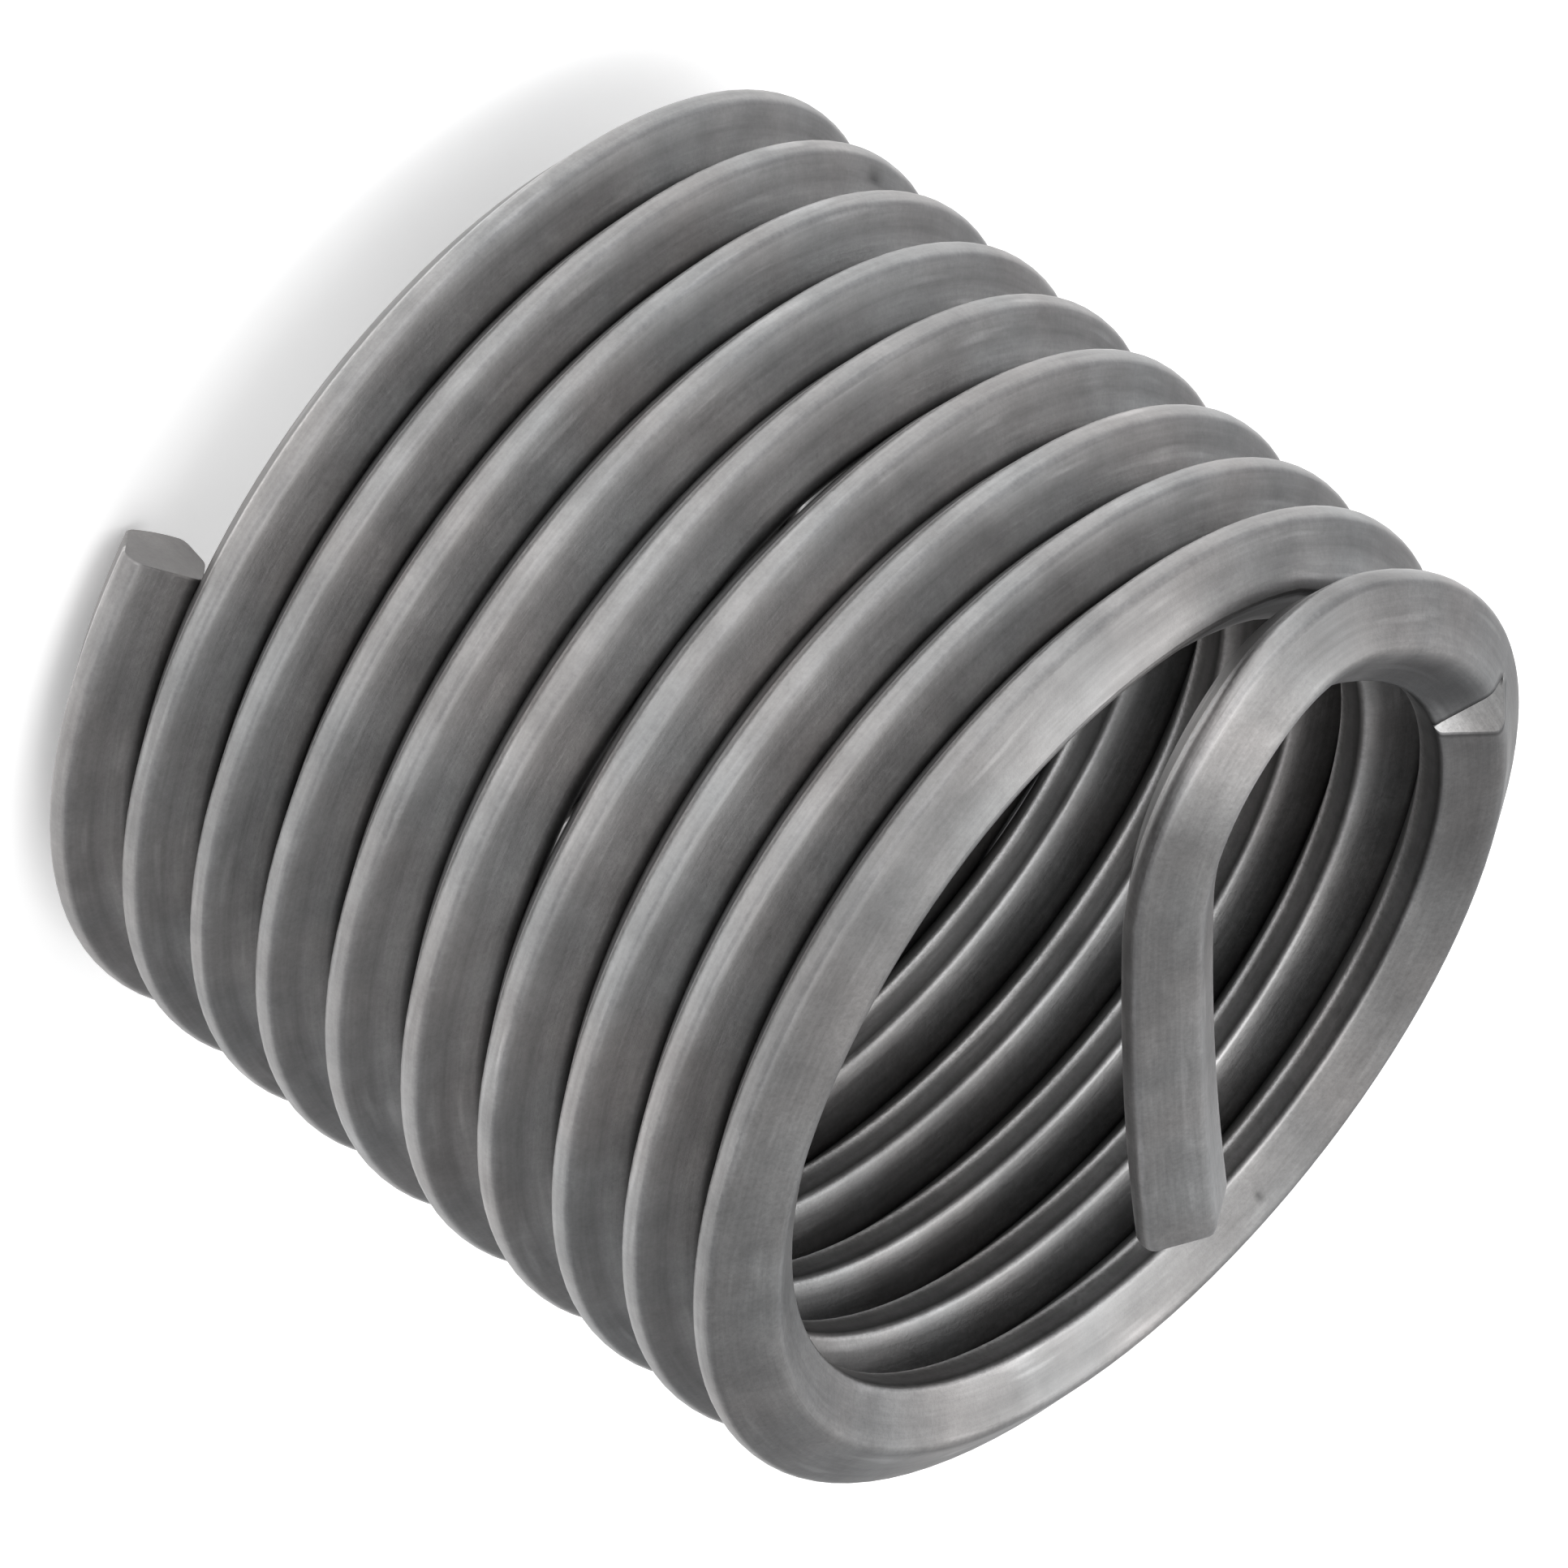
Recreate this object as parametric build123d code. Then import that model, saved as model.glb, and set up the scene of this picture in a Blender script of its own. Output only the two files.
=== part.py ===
from build123d import *
import os
from math import cos, radians, sin, tan

# Helical thread insert for an M12 x 1.25 screw, as supplied, with its driving tang.
#
# One length of profiled stainless wire, coiled right-handed. The wire's section is a diamond with
# 60 degree corners: its outer V fits a tapped hole, and its inner V, cut flat, makes the new
# thread for the screw. The last turn opens a little and bends across the bore as the tang, with a
# break-off notch before the bend.
#
# Millimetres. +Z is the coil's axis, from the plain end to the tang, and the origin is on that
# axis, level with the lowest point of the plain end, on which the insert stands.

# Driving dimensions
pitch = 1.25
outside_diameter = 14.27  # free diameter over the crests, larger than the hole that squeezes it
wire_width = 0.94 * pitch  # along the axis, so that the free turns almost touch
outer_depth = 0.65 * pitch  # from the rounded crest to the widest place of the wire
inner_flat = 0.29 * pitch  # width of the flat at the bore
flank_angle = 30.0  # of each flank, from the radial direction
crest_flats = 3  # the crest's rounding is drawn with this many flats

start_angle = 292.0  # of the cut plain end, about +Z from +X
spring_angle = 40.0  # of the stretch at the plain end, which springs away from the next turn
spring_rise = 0.07 * pitch  # how much that stretch climbs beyond the even pitch
close_turns = 9.291  # turns at the even pitch
open_angle = 127.0  # of the stretch that opens towards the tang
open_rise = 0.20 * pitch  # how much that stretch climbs beyond the even pitch

# The tang: (radius, angle) of each arc of the wire's path, from the coil to the tip
tang_arcs = ((1.46, 66.2), (3.41, 59.3), (47.6, 7.7))

notch_angle = 167.0  # of the break-off notch, about +Z from +X
notch_height = 0.10 * pitch  # of its bottom at the bore, above the wire's middle
notch_slope = 12.0  # its bottom climbs outwards by this angle
notch_tang_wall = 45.0  # its two walls, from upright
notch_coil_wall = 66.0

# Worked out from them
crest_radius = outside_diameter / 2
path_radius = crest_radius - outer_depth
inner_depth = (wire_width - inner_flat) / 2 / tan(radians(flank_angle))
bore_radius = path_radius - inner_depth
crest_rounding = wire_width / 2 / tan(radians(flank_angle)) - outer_depth
stretches = (  # (angle, climb) of each stretch of the coil
    (spring_angle, pitch * spring_angle / 360 + spring_rise),
    (360 * close_turns, pitch * close_turns),
    (open_angle, pitch * open_angle / 360 + open_rise),
)
tang_start = start_angle + sum(angle for angle, climb in stretches)
first_height = wire_width / 2  # of the wire's middle at the plain end
tang_height = first_height + sum(climb for angle, climb in stretches)


def outward(angle: float) -> Vector:
    """The direction away from the axis, at an angle about +Z."""
    return Vector(cos(radians(angle)), sin(radians(angle)), 0)


def wire_section() -> Face:
    """The wire's section, with X away from the axis and the wire's path at its origin."""
    half = wire_width / 2
    rounding_sweep = 180 - 2 * flank_angle
    flat_sweep = rounding_sweep / crest_flats
    corner_radius = crest_rounding / cos(radians(flat_sweep / 2))
    centre = outer_depth - crest_rounding
    corners = []
    for number in range(crest_flats + 1):
        angle = radians(number * flat_sweep - rounding_sweep / 2)
        radius = crest_rounding if number in (0, crest_flats) else corner_radius
        corners.append((centre + radius * cos(angle), radius * sin(angle)))
    widest = [(0, half), (-inner_depth, inner_flat / 2), (-inner_depth, -inner_flat / 2), (0, -half)]
    return make_face(Polyline(*corners, *widest, close=True))


def wire_path() -> Wire:
    """The coil's stretches and the tang's arcs, each beginning where the last one ends."""
    edges = []
    turned, height = start_angle, first_height
    for angle, climb in stretches:
        stretch = Edge.make_helix(climb * 360 / angle, climb, path_radius, center=(0, 0, height))
        edges.append(stretch.rotate(Axis.Z, turned))
        turned, height = turned + angle, height + climb
    heading = edges[-1] % 1
    tang_plane = Plane(edges[-1] @ 1, x_dir=heading, z_dir=outward(tang_start).cross(heading))
    place, direction = (0, 0), (1, 0)
    for radius, angle in tang_arcs:
        arc = JernArc(place, direction, radius, angle)
        place, direction = arc @ 1, arc % 1
        edges.append((tang_plane * arc).edge())
    return Wire(edges)


def notch_cutter() -> Part:
    """A wedge across the tang side of the wire, its bottom edge climbing outwards."""
    out = outward(notch_angle)
    angle, climb = stretches[-1]
    middle = tang_height - climb * (tang_start % 360 - notch_angle) / angle
    corner = out * bore_radius + Vector(0, 0, middle + notch_height)
    along_floor = out * cos(radians(notch_slope)) + Vector(0, 0, sin(radians(notch_slope)))
    behind = corner - along_floor * pitch / 4
    wedge_plane = Plane(behind, x_dir=outward(notch_angle + 90), z_dir=along_floor)
    mouth = Polyline(
        (0, 0),
        (wire_width * tan(radians(notch_tang_wall)), wire_width),
        (-wire_width * tan(radians(notch_coil_wall)), wire_width),
        close=True,
    )
    return extrude(wedge_plane * make_face(mouth), amount=1.5 * pitch)


path = wire_path()
section_plane = Plane(path @ 0, x_dir=outward(start_angle), z_dir=path % 0)
coiled_wire = sweep(section_plane * wire_section(), path=path, is_frenet=True)
swept_volume = coiled_wire.volume
coiled_wire = coiled_wire - notch_cutter()

print("bore radius", round(bore_radius, 3))
print("section times length", round(wire_section().area * path.length, 2), "swept", round(swept_volume, 2))
print("notch", round(swept_volume - coiled_wire.volume, 3))
print("solids", len(coiled_wire.solids()), "valid", coiled_wire.is_valid, "faces", len(coiled_wire.faces()))
print(coiled_wire.bounding_box())

os.makedirs("parts", exist_ok=True)
export_step(coiled_wire, "parts/coiled_wire.step")
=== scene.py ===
import bpy
import numpy as np
from mathutils import Matrix, Vector


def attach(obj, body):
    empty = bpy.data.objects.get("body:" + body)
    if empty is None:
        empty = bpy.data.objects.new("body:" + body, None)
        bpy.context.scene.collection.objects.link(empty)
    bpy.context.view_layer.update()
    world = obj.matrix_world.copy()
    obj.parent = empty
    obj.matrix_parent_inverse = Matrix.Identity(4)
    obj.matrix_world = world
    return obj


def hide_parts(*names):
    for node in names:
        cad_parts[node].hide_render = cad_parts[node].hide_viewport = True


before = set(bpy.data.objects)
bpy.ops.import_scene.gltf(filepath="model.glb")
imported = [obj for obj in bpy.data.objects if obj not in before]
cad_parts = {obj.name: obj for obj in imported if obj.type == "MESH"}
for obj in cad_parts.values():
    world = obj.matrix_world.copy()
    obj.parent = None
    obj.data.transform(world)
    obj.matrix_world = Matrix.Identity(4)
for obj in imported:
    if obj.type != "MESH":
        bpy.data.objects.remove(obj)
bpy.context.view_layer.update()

# ---------------------------------------------------------------- the insert's sizes, millimetres
PITCH = 1.25
WIRE_WIDTH = 0.94 * PITCH
OUTER_DEPTH = 0.65 * PITCH
INNER_FLAT = 0.29 * PITCH
FLANK = np.radians(30)
CREST_RADIUS = 7.132

PATH_RADIUS = CREST_RADIUS - OUTER_DEPTH
INNER_DEPTH = (WIRE_WIDTH - INNER_FLAT) / 2 / np.tan(FLANK)
APEX = WIRE_WIDTH / 2 / np.tan(FLANK)
CREST_HALF = (APEX - OUTER_DEPTH) * np.tan(FLANK)
CORNER_RADII = (0.165, 0.20, 0.09, 0.15, 0.13, 0.165)  # round the section from the crest
ARC_STEPS, SIDE_STEPS = 5, 7  # points on each rounded corner and on each side of the section
COIL_STEPS, TANG_STEPS = 1040, 110  # stations along the wire

# Angles about +Z are counted so that the last turn runs from 0 degrees to the tang's bend.
FIRST_ANGLE = 292.0 - 3600.0
BEND_ANGLE = 203.6
ZERO_HEIGHT = 12.474  # of the wire's middle at 90 degrees in the last turn

END_ANGLE = 40.0  # the plain end leans against the next turn over this angle
END_RISE = 0.03 * PITCH
END_TWIST = 0.35  # the shears leave the cut face slightly twisted
EDGE_BREAK, EDGE_LOSS = 0.025, 0.04  # length of both ends' edge break, and the share it takes
LIFT = 0.20 * PITCH  # the last turn opens by this much
LIFT_ANGLES = (75.0, 190.0)
DRAWN_IN = 0.016  # it is pulled in by this much as well
BUNCHING = (0.090, 6.6, 2.0)  # height, and length and shift in turns, of the turns' slow wave
LEAN = (0.051, 0.057, 5.6)  # of all free turns, and the extra round one turn, counted back
UNEVEN_FROM, UNEVEN_TO = (-9.3, -8.6), (0.25, 1.25)  # turns over which both come in and fade

WIDEST = 1.12  # half pitches that the wire reaches at most towards its neighbour
OVERLAP = 0.002  # so that no light passes where turns touch
FREE_NARROWING = 0.03 * PITCH  # of the side of the last turn that touches nothing
NARROWS_OVER = (-220, 60)

TANG_ARCS = ((1.456, 66.2), (3.41, 59.3), (47.6, 7.7))  # (radius, angle) from the coil to the tip
BEND_SOFTENING = 0.25  # each change of curvature is spread over this, each way
SOFT_ANGLE = np.radians(BEND_ANGLE) - BEND_SOFTENING / PATH_RADIUS
TANG_SCALE = 0.92  # the bend and the pull of the tool draw the wire thinner there
THINNING = (-0.6, 3.4)  # over this way past the bend

# (angle half way between the turns, spread, half the gap) where the crease stands open
OPEN_CREASE = ((-1334.0, 11.0, 0.045), (-1377.0, 13.0, 0.045), (-1517.0, 9.0, 0.022))

NOTCH_ANGLE = 167.0
NOTCH_HEIGHT = 0.10 * PITCH
NOTCH_SLOPE = np.radians(14)
NOTCH_TANG_WALL = np.radians(50)
NOTCH_COIL_WALL = np.radians(66)
# The grid's angles at the notch: start, foot of the wall, bottom, foot of the other wall, end
NOTCH_GRID = NOTCH_ANGLE + np.array([-14.0, -8.0, 0.0, 4.0, 9.0])
NOTCH_STEPS = (12, 24, 12, 6)

# (angle, way round the section, half length, half width, depth) of a nick and a pit
DENTS = ((-2693.8, 0.33, 0.22, 0.08, 0.045), (83.7, 1.32, 0.055, 0.07, 0.012))
DENT_REACH, DENT_STEPS = 4.0, 21  # degrees each way with a fine grid, and its lines
# the share of painted shade at the middle of each dent
DENT_SHADE = 0.6

# The side towards the tang stops touching over the first angles. The other side starts touching
# over the second, and lifts off over the third.
TANG_SIDE_LIFTS = BEND_ANGLE - 380.0, BEND_ANGLE - 310.0
PLAIN_SIDE_MEETS = FIRST_ANGLE + 330.0, FIRST_ANGLE + 380.0
PLAIN_SIDE_LIFTS = 90.0, 170.0

# Brightness against the rest, all painted light: a painted highlight on the coil's wall of the
# notch, with the extra at the bore, and painted shade on the tang's wall and on the row before the
# cut
COIL_WALL, COIL_WALL_GLEAM, TANG_WALL, CUT_EDGE = 0.9, 1.4, 0.15, 0.45
TANG_WALL_STARTS = NOTCH_ANGLE - 0.45
BEND_SHADE = 0.55  # painted shade: the share that the inner flank loses after the notch
BEND_SHADE_STARTS, BEND_SHADE_ENDS = (NOTCH_ANGLE, NOTCH_ANGLE + 10), (190, 206)

# (angle, brightness against the rest): painted reflections and painted shade, light and dark by
# lengths along the last turn and the tang
PAINTED_REFLECTIONS = np.array([
    (-110, 1.0), (-80, 0.74), (-40, 0.85), (12, 0.93), (63, 1.12), (108, 0.97), (144, 0.76),
    (185, 1.0), (211, 0.72), (222, 1.45), (228, 1.5), (236, 0.9), (262, 1.08), (297, 1.2),
])


def smooth(x, low, high):
    """0 below low and 1 above high, with 3t^2 - 2t^3 between them."""
    t = np.clip((x - low) / (high - low), 0, 1)
    return t * t * (3 - 2 * t)


# ---------------------------------------------------------------- the wire
def rounded_outline(corners, radii, arc_steps, side_steps):
    """A closed outline with rounded corners, and the distance round it at each point.

    At each corner, the arc of radius r touches both sides r*tan(turn/2) from the corner, and its
    points are centre + r*(cos, sin) of angles evenly spread over the turn. The sides between the
    arcs are straight, divided evenly.
    """
    corners = np.array(corners)
    radii = np.array(radii)[:, None]
    back = np.roll(corners, 1, axis=0) - corners
    ahead = np.roll(corners, -1, axis=0) - corners
    back /= np.linalg.norm(back, axis=1, keepdims=True)
    ahead /= np.linalg.norm(ahead, axis=1, keepdims=True)
    opening = np.arccos(np.clip((back * ahead).sum(1, keepdims=True), -1, 1))
    middle = back + ahead
    middle /= np.linalg.norm(middle, axis=1, keepdims=True)
    centre = corners + middle * radii / np.sin(opening / 2)
    facing = np.arctan2(-middle[:, 1], -middle[:, 0])[:, None]
    spread = np.linspace(-0.5, 0.5, arc_steps)[None, :] * (np.pi - opening)
    turn = facing + spread
    arcs = centre[:, None, :] + radii[:, :, None] * np.stack([np.cos(turn), np.sin(turn)], 2)
    start, end = arcs[:, -1], np.roll(arcs[:, 0], -1, axis=0)
    share = np.linspace(0, 1, side_steps + 2)[1:-1][None, :, None]
    sides = start[:, None, :] + (end - start)[:, None, :] * share
    outline = np.concatenate([arcs, sides], axis=1).reshape(-1, 2)
    step = np.linalg.norm(np.roll(outline, -1, axis=0) - outline, axis=1)
    return outline, np.concatenate([[0], np.cumsum(step)])


def wire_outline():
    """The wire's section, with x away from the coil's axis and y towards the tang."""
    half, flat, crest = WIRE_WIDTH / 2, INNER_FLAT / 2, CREST_HALF
    corners = [(OUTER_DEPTH, crest), (0, half), (-INNER_DEPTH, flat)]
    corners += [(x, -y) for x, y in corners[::-1]]
    return rounded_outline(corners, CORNER_RADII, ARC_STEPS, SIDE_STEPS)


def coil_height(angle):
    """The height of the wire's middle at an angle.

    A helix of one pitch a turn; then the rise of the plain end and the lift of the last turn, each
    a smooth step; then the unevenness of the free turns: a slow wave that bunches and spreads
    them, and a lean from one side to the other, both fading out before the last turn.
    """
    height = ZERO_HEIGHT + PITCH * (angle - 90) / 360
    height = height + END_RISE * (1 - smooth(angle, FIRST_ANGLE, FIRST_ANGLE + END_ANGLE))
    height = height + LIFT * smooth(angle, *LIFT_ANGLES)
    turn = angle / 360
    wave, length, shift = BUNCHING
    bunching = wave * np.cos(2 * np.pi * (turn + shift) / length)
    steady, extra, back = LEAN
    lean = steady + extra * np.exp(-((turn + back) ** 2))
    uneven = bunching - lean * np.cos(np.radians(angle))
    return height + uneven * smooth(-turn, *UNEVEN_TO) * smooth(turn, *UNEVEN_FROM)


def crease_gap(middle):
    """Half the gap in the crease between two turns, given the angle half way between them.

    One crease stands a little open at three places, each a bell curve of the angle.
    """
    gap = np.zeros_like(middle)
    for place, spread, half_gap in OPEN_CREASE:
        gap = gap + half_gap * np.exp(-(((middle - place) / spread) ** 2))
    return gap


def half_widths(angle):
    """How far the wire reaches towards the tang and towards the plain end, at an angle.

    Neighbouring turns meet half way between their middles, apart from the open crease. A side
    that meets no turn reaches half a pitch, or a little less in the last turn.
    """
    most = PITCH / 2 * WIDEST
    free = PITCH / 2 - FREE_NARROWING * smooth(angle, *NARROWS_OVER)
    middle = coil_height(angle)
    ahead = np.minimum((coil_height(angle + 360) - middle) / 2, most)
    behind = np.minimum((middle - coil_height(angle - 360)) / 2, most)
    ahead = np.where(angle > BEND_ANGLE - 360, free, ahead)
    behind = np.where(angle < FIRST_ANGLE + 360, free, behind)
    ahead = ahead + OVERLAP - crease_gap(angle + 180)
    return ahead, behind + OVERLAP - crease_gap(angle - 180)


def coil_angles():
    """Even steps round the coil, and fine ones at the notch, the dents and the cut end."""
    last = np.degrees(SOFT_ANGLE)
    even = np.linspace(FIRST_ANGLE + 2, last, COIL_STEPS, endpoint=False)
    spans = zip(NOTCH_GRID[:-1], NOTCH_GRID[1:], NOTCH_STEPS)
    fine = np.concatenate([np.linspace(a, b, n, endpoint=False) for a, b, n in spans])
    even = even[(even < NOTCH_GRID[0]) | (even > NOTCH_GRID[-1])]
    for spot, *_ in DENTS:
        even = even[abs(even - spot) > DENT_REACH + 0.2]
        fine = np.append(fine, spot + np.linspace(-DENT_REACH, DENT_REACH, DENT_STEPS))
    cut = FIRST_ANGLE + np.degrees(EDGE_BREAK / PATH_RADIUS) * np.array([0, 0.3, 1])
    return np.sort(np.concatenate([even, fine, cut]))


def tang_line(steps):
    """The tang's middle line, seen along the axis: x, y and the way past the first arc's start.

    The heading turns by the arcs' curvatures, softened over a short way where one arc meets the
    next, and the line is the running sum of (cos, sin) of the heading.
    """
    lengths = np.array([radius * np.radians(turn) for radius, turn in TANG_ARCS])
    ends = np.cumsum(lengths)
    way = np.linspace(-BEND_SOFTENING, ends[-1], steps)
    curvature = np.full(steps, 1 / PATH_RADIUS)
    before = 1 / PATH_RADIUS
    for (radius, turn), start in zip(TANG_ARCS, np.concatenate([[0], ends[:-1]])):
        rising = smooth(way, start - BEND_SOFTENING, start + BEND_SOFTENING)
        curvature += (1 / radius - before) * rising
        before = 1 / radius
    step = way[1] - way[0]
    middle = (curvature[1:] + curvature[:-1]) / 2
    first = SOFT_ANGLE + np.pi / 2
    heading = first + np.concatenate([[0], np.cumsum(middle)]) * step
    middle = (heading[1:] + heading[:-1]) / 2
    x = np.concatenate([[0], np.cumsum(np.cos(middle))]) * step
    y = np.concatenate([[0], np.cumsum(np.sin(middle))]) * step
    radius = PATH_RADIUS - DRAWN_IN
    return x + radius * np.cos(SOFT_ANGLE), y + radius * np.sin(SOFT_ANGLE), way


def notch_ceiling(angle, outward):
    """How far above its middle the wire reaches under the notch.

    The notch's bottom climbs outwards from the bore, and a wall rises from it on each side, as the
    distance along the wire divided by the tangent of the wall's lean.
    """
    bottom = NOTCH_HEIGHT + (outward + INNER_DEPTH) * np.tan(NOTCH_SLOPE)
    along = np.radians(angle - NOTCH_ANGLE) * (PATH_RADIUS + outward)
    wall = np.maximum(along / np.tan(NOTCH_TANG_WALL), -along / np.tan(NOTCH_COIL_WALL))
    return bottom + wall


def notch_places(place, outward, upward):
    """Angles moved so that the grid's lines follow the notch's edges, column by column.

    A wall's edge lies where the bottom and the wall together have climbed as far as the flank.
    Past the notch's shallow end, a depth of 0.004 keeps the lines apart.
    """
    bottom = NOTCH_HEIGHT + (outward + INNER_DEPTH) * np.tan(NOTCH_SLOPE)
    depth = np.maximum(upward - bottom, 0.004)
    reach = np.degrees(depth / (PATH_RADIUS + outward))
    moved = np.empty((len(place), len(outward)))
    for column, back in enumerate(reach):
        foot = -back * np.tan(NOTCH_COIL_WALL), 0, back * np.tan(NOTCH_TANG_WALL)
        edges = [NOTCH_GRID[0], *(NOTCH_ANGLE + np.array(foot)), NOTCH_GRID[-1]]
        moved[:, column] = np.interp(place, NOTCH_GRID, edges)
    return moved


def touching_and_painted_light(place, spots, out_share, up_share, cut):
    """Where the wire touches another turn, and its brightness against the rest, at each point.

    Touching is 1 on a flank that meets a turn and falls to 0 in smooth steps towards the ends.
    The painted light runs straight between the stops of painted reflections along the last turn
    and the tang. Painted shade lowers it on the inner flank from the notch to the bend. In the
    notch, a painted highlight brightens the coil's wall towards the bore, and painted shade darkens
    the tang's wall and the row before it.
    """
    touching = np.where(
        up_share > 0,
        1 - smooth(spots, *TANG_SIDE_LIFTS),
        smooth(spots, *PLAIN_SIDE_MEETS) * (1 - smooth(spots, *PLAIN_SIDE_LIFTS)),
    )
    touching[0] = 0
    # painted reflections, light and dark by lengths along the last turn and the tang
    painted_light = np.interp(place, *PAINTED_REFLECTIONS.T)[:, None] + np.zeros_like(up_share)
    # painted shade on the inner flank from the notch to the bend
    bend_shade = smooth(spots, *BEND_SHADE_STARTS)
    bend_shade = bend_shade * (1 - smooth(spots, *BEND_SHADE_ENDS)) * smooth(-out_share, -0.05, 0.3)
    painted_light = np.where(up_share > 0, painted_light * (1 - BEND_SHADE * bend_shade), painted_light)
    # painted highlight on the coil's wall of the notch; painted shade on the tang's wall and the
    # row before the cut
    wall = COIL_WALL + COIL_WALL_GLEAM * smooth(-out_share, 0.0, 0.65)
    painted_light = np.where(cut, wall, painted_light)
    painted_light = np.where(cut & (spots > TANG_WALL_STARTS), TANG_WALL, painted_light)
    painted_light = np.where(~cut & np.roll(cut, -1, axis=0), CUT_EDGE, painted_light)
    return touching, painted_light


def dented(spots, around, out_share, up_share, painted_light):
    """The section drawn in, and darkened by painted shade, at each dent by a bell curve of both
    directions.
    """
    for spot, across, length, width, depth in DENTS:
        ahead = np.radians(spots - spot) * PATH_RADIUS / length
        dent = np.exp(-(ahead**2) - ((around[:-1] - across) / width) ** 2)
        left = 1 - dent * depth / OUTER_DEPTH
        out_share, up_share = out_share * left, up_share * left
        # painted shade in the dent
        painted_light = painted_light * (1 - DENT_SHADE * dent)
    return out_share, up_share, painted_light


def wire_points():
    """The wire's surface: points[station, place round the section], and the way along the wire.

    A station's section is laid out on two directions: outwards, which is the wire's heading
    turned level by a right angle, and the cross product of that and the heading. The last thing
    returned is where turns touch, and the painted light and shade, at each point.
    """
    outline, around = wire_outline()
    angle = coil_angles()
    turn = np.radians(angle)
    radius = PATH_RADIUS - DRAWN_IN * smooth(angle, *LIFT_ANGLES)
    coil = np.stack([radius * np.cos(turn), radius * np.sin(turn), coil_height(angle)], 1)
    x, y, way = tang_line(TANG_STEPS)
    top = float(coil_height(np.degrees(SOFT_ANGLE)))
    tang = np.stack([x, y, np.full_like(x, top)], 1)
    line = np.concatenate([coil, tang])
    step = np.linalg.norm(np.diff(line, axis=0), axis=1)
    along = np.concatenate([[0], np.cumsum(step)])
    heading = np.gradient(line, along, axis=0)
    heading /= np.linalg.norm(heading, axis=1, keepdims=True)
    outward = np.cross(heading, [0, 0, 1])
    outward /= np.linalg.norm(outward, axis=1, keepdims=True)
    upward = np.cross(outward, heading)

    place = np.concatenate([angle, BEND_ANGLE + np.degrees(way / PATH_RADIUS)])
    bent = along - along[len(angle)] - BEND_SOFTENING
    size = 1 + (TANG_SCALE - 1) * smooth(bent, *THINNING)
    from_end = np.minimum(along, along[-1] - along)
    edge = 1 - EDGE_LOSS * np.clip(1 - from_end / EDGE_BREAK, 0, 1) ** 2
    size = size * edge
    out_share = outline[None, :, 0] * size[:, None]
    up_share = np.repeat(outline[None, :, 1], len(line), 0) * size[:, None]
    ahead, behind = half_widths(np.minimum(place, BEND_ANGLE)[:, None])
    up_share = up_share * np.where(up_share > 0, ahead, behind) / outline[:, 1].max()

    # across the notch, the grid's lines follow its edges
    near = (place > NOTCH_GRID[0]) & (place < NOTCH_GRID[-1])
    station = int(np.argmin(np.abs(place - NOTCH_ANGLE)))
    spots = np.repeat(place[:, None], len(outline), 1)
    spots[near] = notch_places(place[near], out_share[station], up_share[station])
    ceiling = notch_ceiling(spots, out_share)
    cut = (up_share > ceiling - 0.001) & near[:, None] & (up_share > 0)
    up_share = np.minimum(up_share, ceiling)

    def at_spots(values):
        return np.stack([np.interp(spots, place, column) for column in values.T], 2)

    touching, painted_light = touching_and_painted_light(place, spots, out_share, up_share, cut)
    out_share, up_share, painted_light = dented(spots, around, out_share, up_share, painted_light)
    shear = np.zeros_like(up_share)
    shear[:3] = -END_TWIST * np.minimum(out_share[:3], 0) * up_share[:3]
    points = (
        at_spots(line)
        + out_share[:, :, None] * at_spots(outward)
        + up_share[:, :, None] * at_spots(upward)
        + shear[:, :, None] * at_spots(heading)
    )
    return points, along, around, {"touching": touching, "painted_light": painted_light}


def swept_mesh(name, points, along, around):
    """A closed mesh over a grid of points: quads along the wire and a fan on each end.

    Its UV map, named wire, holds millimetres along the wire and round its section. A fan's map
    holds x and the place of the first flank.
    """
    rows, columns = points.shape[:2]
    number = np.arange(rows * columns).reshape(rows, columns)
    after = np.roll(number, -1, axis=1)
    quads = np.stack([number[:-1], number[1:], after[1:], after[:-1]], 2).reshape(-1, 4)
    hubs = rows * columns + np.arange(2)[:, None] + np.zeros((1, columns), int)
    first = np.stack([number[0], after[0], hubs[0]], 1)
    last = np.stack([after[-1], number[-1], hubs[1]], 1)
    fans = np.concatenate([first, last])
    corners = np.concatenate([quads.ravel(), fans.ravel()])
    totals = np.concatenate([np.full(len(quads), 4), np.full(len(fans), 3)])
    starts = np.concatenate([[0], np.cumsum(totals)[:-1]])
    spots = np.concatenate([points.reshape(-1, 3), points[[0, -1]].mean(1)])
    mesh = bpy.data.meshes.new(name)
    mesh.vertices.add(len(spots))
    mesh.vertices.foreach_set("co", (spots * 0.001).astype(np.float32).ravel())
    mesh.loops.add(len(corners))
    mesh.loops.foreach_set("vertex_index", corners.astype(np.int32))
    mesh.polygons.add(len(totals))
    mesh.polygons.foreach_set("loop_start", starts.astype(np.int32))
    mesh.update(calc_edges=True)

    u = along[np.arange(rows - 1)][:, None] + np.zeros(columns)
    u_next = along[np.arange(1, rows)][:, None] + np.zeros(columns)
    v = around[:-1][None, :] + np.zeros((rows - 1, 1))
    v_next = around[1:][None, :] + np.zeros((rows - 1, 1))
    uv = np.stack([u, v, u_next, v, u_next, v_next, u, v_next], 2).reshape(-1, 2)
    flank = np.full(fans.size, around[ARC_STEPS + SIDE_STEPS // 2])
    uv = np.concatenate([uv, np.stack([spots[fans.ravel(), 0], flank], 1)])
    layer = mesh.uv_layers.new(name="wire")
    layer.data.foreach_set("uv", uv.astype(np.float32).ravel())
    mesh.validate()
    return mesh


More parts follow.
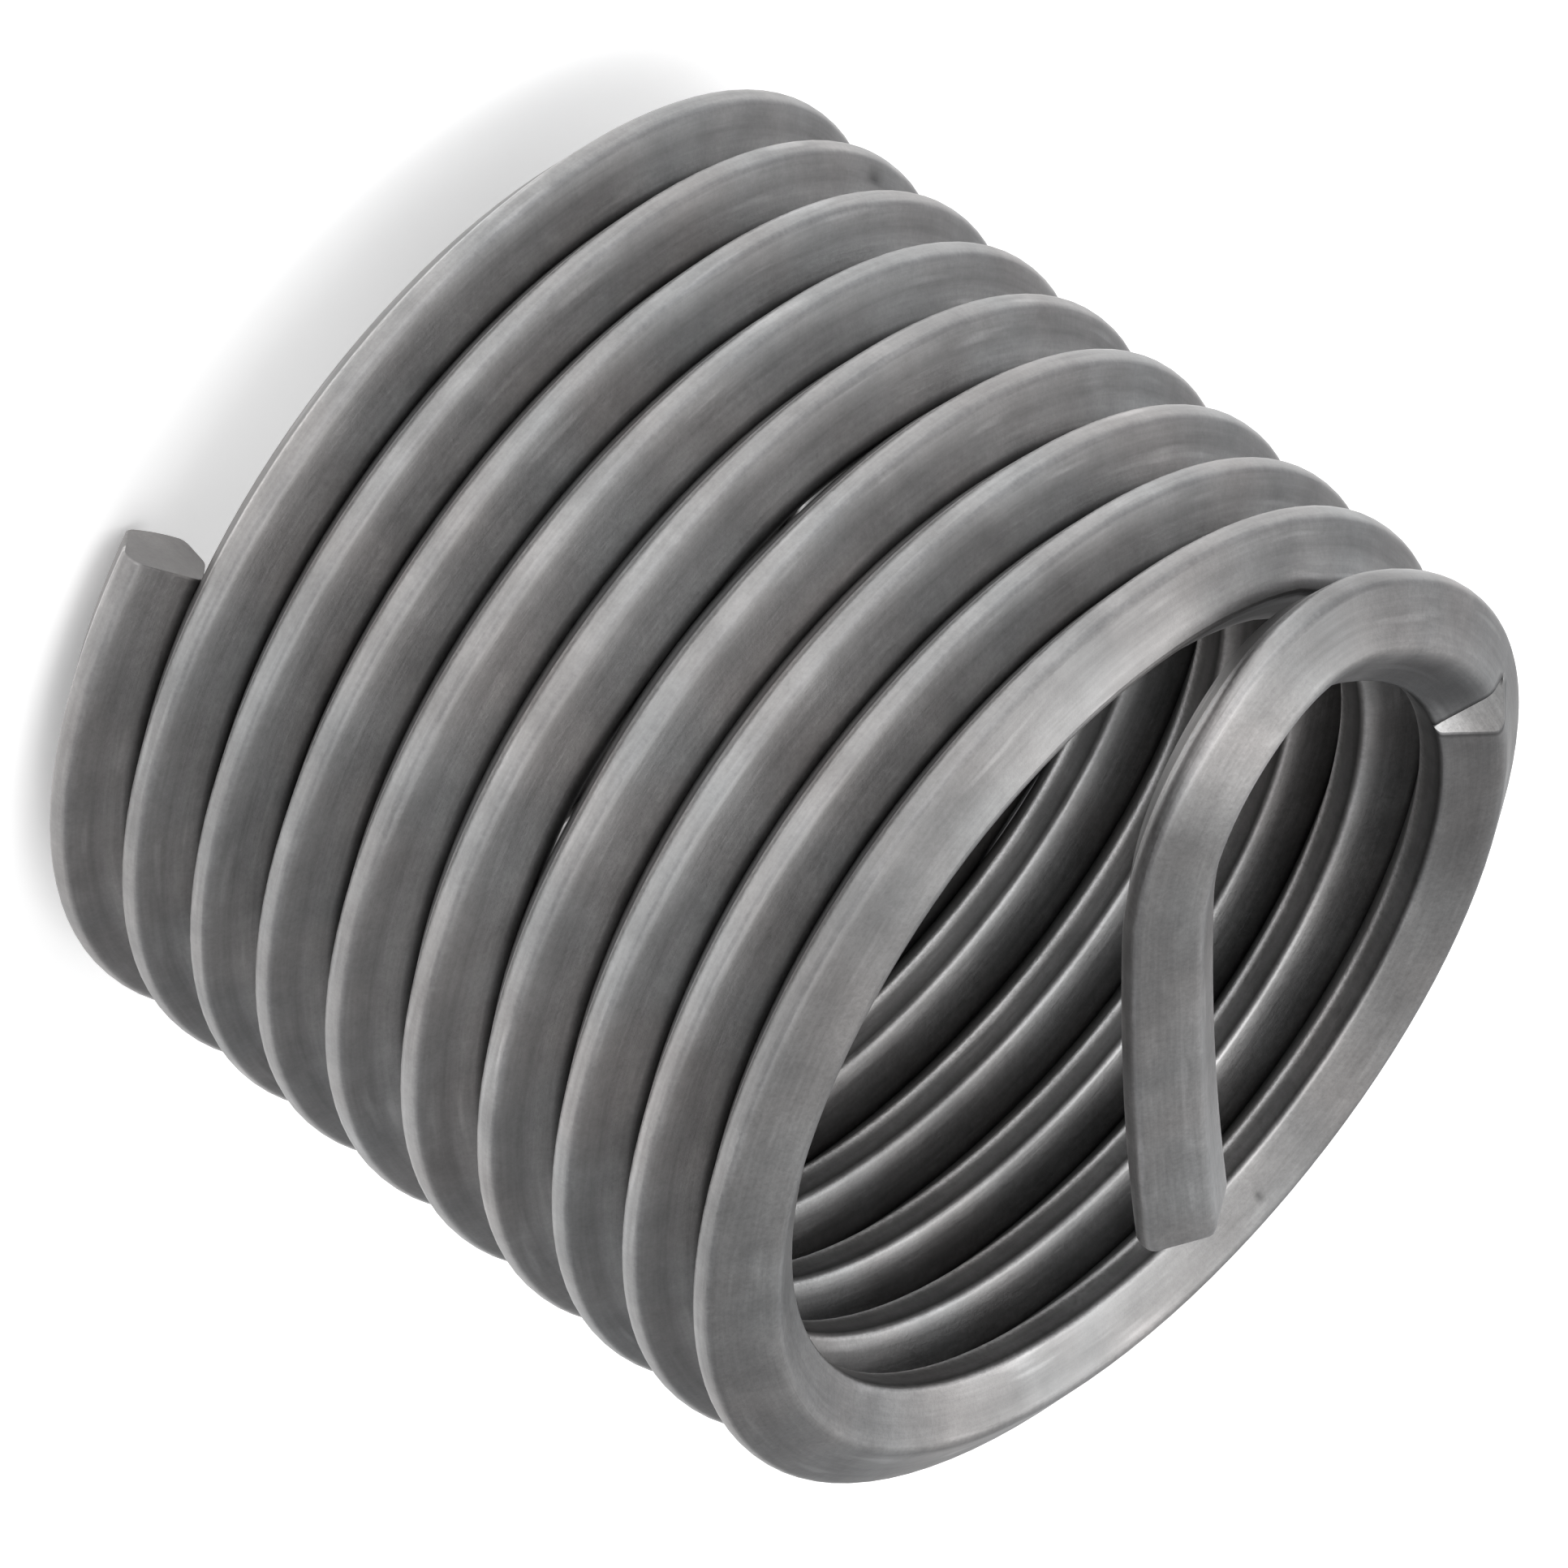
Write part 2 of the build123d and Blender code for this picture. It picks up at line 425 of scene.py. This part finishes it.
points, along, around, marks = wire_points()
mesh = swept_mesh("insert_wire", points, along, around)
for mark, values in marks.items():
    values = np.append(values.ravel(), values[[0, -1]].mean(1))
    mesh.attributes.new(mark, "FLOAT", "POINT").data.foreach_set("value", values)
wire = bpy.data.objects.new("insert_wire", mesh)
bpy.context.scene.collection.objects.link(wire)
mesh.shade_smooth()
mesh.set_sharp_from_angle(angle=np.radians(16))
weighted = wire.modifiers.new("even_normals", "WEIGHTED_NORMAL")
weighted.keep_sharp = True


# ---------------------------------------------------------------- materials
class Sheet:
    """A node tree that is written one node at a time; a value is a number or a socket."""

    def __init__(self, tree):
        self.nodes, self.links = tree.nodes, tree.links

    def put(self, socket, value):
        """Link a socket to the input, or set the input's own value."""
        if isinstance(value, bpy.types.NodeSocket):
            self.links.new(value, socket)
        else:
            socket.default_value = value

    def node(self, kind, inputs=(), **settings):
        """A new node with its settings, and with its inputs linked or set."""
        made = self.nodes.new(kind)
        for name, value in settings.items():
            setattr(made, name, value)
        for name, value in dict(inputs).items():
            self.put(made.inputs[name], value)
        return made

    def math(self, operation, a, b=0.0):
        made = self.node("ShaderNodeMath", operation=operation)
        self.put(made.inputs[0], a)
        self.put(made.inputs[1], b)
        return made.outputs[0]

    def spread(self, value, low, high, new_low, new_high):
        """A straight-line change of range, held at its ends."""
        ends = {"Value": value, "From Min": low, "From Max": high}
        ends |= {"To Min": new_low, "To Max": new_high}
        return self.node("ShaderNodeMapRange", ends).outputs["Result"]

    def noise(self, vector, scale, detail=2.0, roughness=0.5):
        inputs = {"Vector": vector, "Scale": scale, "Detail": detail, "Roughness": roughness}
        return self.node("ShaderNodeTexNoise", inputs).outputs["Fac"]

    def curve(self, value, stops):
        """A grey ramp through (place, level) stops."""
        ramp = self.node("ShaderNodeValToRGB", {"Fac": value})
        elements = ramp.color_ramp.elements
        while len(elements) < len(stops):
            elements.new(1.0)
        for element, (place, level) in zip(elements, stops):
            element.position = place
            element.color = (level, level, level, 1)
        return ramp.outputs["Color"]


def section_stops(around, places):
    """Ramp stops from (landmark, millimetres past it, level).

    The landmarks count the section's rounded corners: 0 the crest, 1 the wide corner and 2 the
    inner edge, all nearer the tang, then 3 the inner edge, 4 the wide corner and 5 the crest.
    """
    first = np.arange(6) * (ARC_STEPS + SIDE_STEPS)
    middles = (around[first] + around[first + ARC_STEPS - 1]) / 2
    stops = [((middles[mark] + past) / around[-1], level) for mark, past, level in places]
    return sorted((min(max(float(place), 0), 1), level) for place, level in stops)


def mirrored(places):
    """The same stops on the section's other half."""
    return places + [(5 - mark, -past, level) for mark, past, level in places]


# The metal's tone round the section, with painted highlights on the crest's shoulder and the inner
# edges; and painted shade in the creases, with painted highlights beside them, where 1 leaves it
# plain.
TONE_AND_HIGHLIGHTS = mirrored([
    (0, 0.34, 0.66), (1, -0.45, 0.68), (1, -0.20, 0.78), (1, 0.0, 0.78), (1, 0.30, 0.66),
    (2, -0.16, 0.74),
]) + [
    (0, 0.05, 0.70), (0, 0.0, 0.84), (0, -0.06, 0.78),
    (2, -0.08, 0.80), (2, -0.01, 0.98), (2, 0.06, 0.32), (2, 0.13, 0.55),
    (3, -0.12, 0.74), (3, -0.05, 1.1), (3, 0.0, 1.3), (3, 0.08, 1.3),
    (5, -0.34, 0.66), (5, -0.26, 1.60), (5, -0.17, 1.60), (5, -0.09, 1.15), (5, 0.0, 0.86),
    (5, 0.08, 0.76),
]
CREASE_SHADE_AND_HIGHLIGHTS = [
    (0, -0.05, 1.0), (0, 0.12, 0.80), (0, 0.34, 0.77),
    (1, -0.48, 0.98), (1, -0.34, 1.22), (1, -0.21, 1.22), (1, -0.12, 0.5), (1, -0.03, 0.2),
    (1, 0.05, 0.4), (1, 0.14, 0.95),
    (2, -0.50, 0.66), (2, -0.25, 0.60), (2, -0.12, 1.1), (2, 0.0, 1.5), (2, 0.06, 0.9),
    (3, -0.05, 1.0), (3, 0.0, 1.5), (3, 0.10, 1.0),
    (4, -0.05, 0.3), (4, 0.05, 0.2), (4, 0.20, 0.55), (4, 0.40, 0.85),
    (5, -0.42, 0.6), (5, -0.37, 0.5), (5, -0.30, 1.0),
]
COOL_STEEL, WARM_STEEL = (0.479, 0.479, 0.479, 1), (0.492, 0.476, 0.470, 1)
RELIEF_DEPTH = 4e-6  # metres


def stainless_wire(around):
    """Drawn stainless wire: burnished crests and dull flanks, with painted highlights on the
    crests' shoulders and inner edges, and painted shade in the creases.

    Tone follows the way round the section, and so does the painted shade that darkens the creases
    where turns touch, with painted highlights beside it. Painted reflections and painted shade lie
    along the last turn, the tang, the notch and the dents. Drawing lines run along the wire, and
    over all of it lie clouds, grain and rub marks.
    """
    material = bpy.data.materials.new("stainless_wire")
    material.use_nodes = True
    sheet = Sheet(material.node_tree)
    shader = sheet.nodes["Principled BSDF"]

    wire_map = sheet.node("ShaderNodeUVMap", uv_map="wire").outputs["UV"]
    split = sheet.node("ShaderNodeSeparateXYZ", {"Vector": wire_map})
    way, round_way = split.outputs["X"], split.outputs["Y"]
    share = sheet.math("DIVIDE", round_way, float(around[-1]))
    touching = sheet.node("ShaderNodeAttribute", attribute_name="touching").outputs["Fac"]
    painted_light = sheet.node("ShaderNodeAttribute", attribute_name="painted_light").outputs["Fac"]

    # tone of the burnished crest and dull flanks, with painted highlights on the crest's shoulder
    # and the inner edges
    tone_and_highlights = sheet.curve(share, section_stops(around, TONE_AND_HIGHLIGHTS))
    # painted shade in the creases, with painted highlights beside them, where turns touch
    painted_crease_ramp = sheet.curve(share, section_stops(around, CREASE_SHADE_AND_HIGHLIGHTS))
    crease = sheet.math("MULTIPLY", touching, sheet.math("SUBTRACT", painted_crease_ramp, 1.0))
    crease = sheet.math("ADD", crease, 1.0)

    place = sheet.node("ShaderNodeVectorMath", {"Scale": 1000.0}, operation="SCALE")
    sheet.links.new(sheet.node("ShaderNodeTexCoord").outputs["Object"], place.inputs[0])
    place = place.outputs[0]

    def stretched(along_scale, across_scale):
        x = sheet.math("MULTIPLY", way, along_scale)
        y = sheet.math("MULTIPLY", round_way, across_scale)
        return sheet.node("ShaderNodeCombineXYZ", {"X": x, "Y": y}).outputs[0]

    clouds = sheet.noise(place, 1.1, 3.0, 0.6)
    grain = sheet.noise(place, 15.0, 3.0, 0.75)
    lines = sheet.noise(stretched(0.9, 16.0), 1.0, 3.0, 0.6)
    rubs = sheet.noise(stretched(0.55, 4.5), 1.0, 1.0)
    rub = sheet.spread(rubs, 0.62, 0.74, 0.0, 1.0)

    level = sheet.math("MULTIPLY", tone_and_highlights, sheet.spread(clouds, 0.3, 0.7, 0.86, 1.12))
    coarse = sheet.spread(tone_and_highlights, 0.85, 1.3, 0.35, 1.0)
    sparkle = sheet.math("MULTIPLY", coarse, sheet.spread(grain, 0.25, 0.75, -0.36, 0.40))
    level = sheet.math("MULTIPLY", level, sheet.math("ADD", sparkle, 1.0))
    level = sheet.math("MULTIPLY", level, sheet.spread(lines, 0.3, 0.7, 0.92, 1.07))
    level = sheet.math("MULTIPLY", level, sheet.spread(rub, 0.0, 1.0, 1.0, 1.22))
    level = sheet.math("MULTIPLY", level, crease)
    # painted reflections and painted shade along the last turn, the tang, the notch and the dents
    level = sheet.math("MULTIPLY", level, painted_light)

    warmth = sheet.noise(place, 0.45, 2.0)
    tint = sheet.node("ShaderNodeMix", data_type="RGBA")
    sheet.put(tint.inputs["Factor"], sheet.spread(warmth, 0.35, 0.65, 0.0, 1.0))
    sheet.put(tint.inputs["A"], COOL_STEEL)
    sheet.put(tint.inputs["B"], WARM_STEEL)
    colour = sheet.node("ShaderNodeVectorMath", {"Scale": level}, operation="SCALE")
    sheet.links.new(tint.outputs["Result"], colour.inputs[0])
    sheet.put(shader.inputs["Base Color"], colour.outputs[0])
    shader.inputs["Metallic"].default_value = 1

    rough = sheet.spread(tone_and_highlights, 0.6, 1.0, 0.52, 0.40)
    rough = sheet.math("ADD", rough, sheet.spread(grain, 0.25, 0.75, -0.06, 0.06))
    rough = sheet.math("SUBTRACT", rough, sheet.math("MULTIPLY", rub, 0.06))
    sheet.put(shader.inputs["Roughness"], rough)

    relief = sheet.math("MULTIPLY", grain, 0.9)
    relief = sheet.math("ADD", relief, sheet.math("MULTIPLY", lines, 0.7))
    bump = sheet.node("ShaderNodeBump", {"Height": relief, "Distance": RELIEF_DEPTH})
    sheet.put(shader.inputs["Normal"], bump.outputs["Normal"])
    return material


wire.data.materials.append(stainless_wire(around))
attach(wire, "root")
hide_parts("coiled_wire")


# ---------------------------------------------------------------- floor, light and camera
# metres from here on
FLOOR_HALF = 0.6
PALE = (0.85, 0.85, 0.85, 1)
SHADE_REACH = 0.009
LAMP_TARGET = Vector((0, 0, 0.007))


def floor_material():
    """Pale and matt, shown as white to the camera and to the metal, apart from the shadow.

    The camera sees the share of open sky to the power 0.3. The metal sees a glow that falls from
    left to right. Both are scaled down, as the lamps light the floor as well.
    """
    material = bpy.data.materials.new("pale_floor")
    material.use_nodes = True
    material.node_tree.nodes.clear()
    sheet = Sheet(material.node_tree)
    seen_by = sheet.node("ShaderNodeLightPath").outputs
    place = sheet.node("ShaderNodeTexCoord").outputs["Object"]
    across = sheet.node("ShaderNodeSeparateXYZ", {"Vector": place}).outputs["X"]
    shade = sheet.node("ShaderNodeAmbientOcclusion", {"Distance": SHADE_REACH}, samples=4)
    open_sky = sheet.math("POWER", shade.outputs["AO"], 0.3)
    for_camera = sheet.math("MULTIPLY", open_sky, seen_by["Is Camera Ray"])
    side = sheet.spread(across, -0.02, 0.03, 0.80, 0.50)
    for_metal = sheet.math("MULTIPLY", seen_by["Is Glossy Ray"], side)
    strength = sheet.math("MULTIPLY", sheet.math("ADD", for_metal, for_camera), 0.6)
    glow = sheet.node("ShaderNodeEmission", {"Strength": strength}).outputs[0]
    matt = sheet.node("ShaderNodeBsdfDiffuse", {"Color": PALE}).outputs[0]
    both = sheet.node("ShaderNodeAddShader", {0: matt, 1: glow}).outputs[0]
    sheet.node("ShaderNodeOutputMaterial", {"Surface": both})
    return material


def floor():
    """A flat square, large beside the insert."""
    corners = [(x * FLOOR_HALF, y * FLOOR_HALF, 0) for x, y in ((-1, -1), (1, -1), (1, 1), (-1, 1))]
    mesh = bpy.data.meshes.new("floor")
    mesh.from_pydata(corners, [], [(0, 1, 2, 3)])
    obj = bpy.data.objects.new("floor", mesh)
    bpy.context.scene.collection.objects.link(obj)
    obj.data.materials.append(floor_material())


def area_light(name, direction, distance, size, power):
    """A soft rectangular lamp that shines on the insert from a direction."""
    data = bpy.data.lights.new(name, "AREA")
    data.shape = "RECTANGLE"
    data.size, data.size_y = size
    data.energy = power
    obj = bpy.data.objects.new(name, data)
    bpy.context.scene.collection.objects.link(obj)
    away = Vector(direction).normalized()
    turned = away.to_track_quat("Z", "Y").to_matrix().to_4x4()
    obj.matrix_world = Matrix.Translation(LAMP_TARGET + away * distance) @ turned


def world_light():
    """A plain grey sky, lighter overhead, and stronger from the left than from the right."""
    world = bpy.data.worlds.new("studio")
    world.use_nodes = True
    bpy.context.scene.world = world
    sheet = Sheet(world.node_tree)
    direction = sheet.node("ShaderNodeTexCoord").outputs["Generated"]
    split = sheet.node("ShaderNodeSeparateXYZ", {"Vector": direction}).outputs
    ramp = sheet.node("ShaderNodeValToRGB", {"Fac": split["Z"]})
    level, overhead = ramp.color_ramp.elements
    level.position, level.color = 0.0, (0.39, 0.40, 0.42, 1)
    overhead.position, overhead.color = 0.9, (0.66, 0.66, 0.66, 1)
    sky = sheet.nodes["Background"].inputs
    sheet.put(sky["Color"], ramp.outputs["Color"])
    sheet.put(sky["Strength"], sheet.spread(split["X"], -0.7, 0.7, 1.30, 0.70))


def camera():
    """A long lens, 25 degrees above the floor, rolled so that the coil's axis leans."""
    lens, sensor = 1500.0, 36.0
    frame_width = 19.967e-3
    elevation, roll = np.radians(25.06), np.radians(126.45)
    target = Vector((0.045e-3, 0, 6.857e-3))
    level = Vector((1, 0, 0))
    steep = Vector((0, np.sin(elevation), np.cos(elevation)))
    back = Vector((0, -np.cos(elevation), np.sin(elevation)))
    right = level * np.cos(roll) + steep * np.sin(roll)
    up = back.cross(right)
    distance = frame_width * lens / sensor
    data = bpy.data.cameras.new("camera")
    data.lens, data.sensor_width = lens, sensor
    data.clip_start, data.clip_end = 0.01, 10
    obj = bpy.data.objects.new("camera", data)
    bpy.context.scene.collection.objects.link(obj)
    turned = Matrix((right, up, back)).transposed().to_4x4()
    obj.matrix_world = Matrix.Translation(target + back * distance) @ turned
    bpy.context.scene.camera = obj


floor()
world_light()
area_light("front_low", (-0.3, -0.95, 0.12), 0.25, (0.25, 0.12), 0.10)
area_light("front_top", (0.0, -0.5, 0.86), 0.30, (0.20, 0.20), 0.16)
area_light("front_right", (0.5, -0.6, 0.62), 0.30, (0.20, 0.20), 0.10)
area_light("up_left", (-0.42, 0.31, 0.85), 0.30, (0.20, 0.20), 0.18)
camera()
bpy.context.scene.view_settings.view_transform = "Standard"
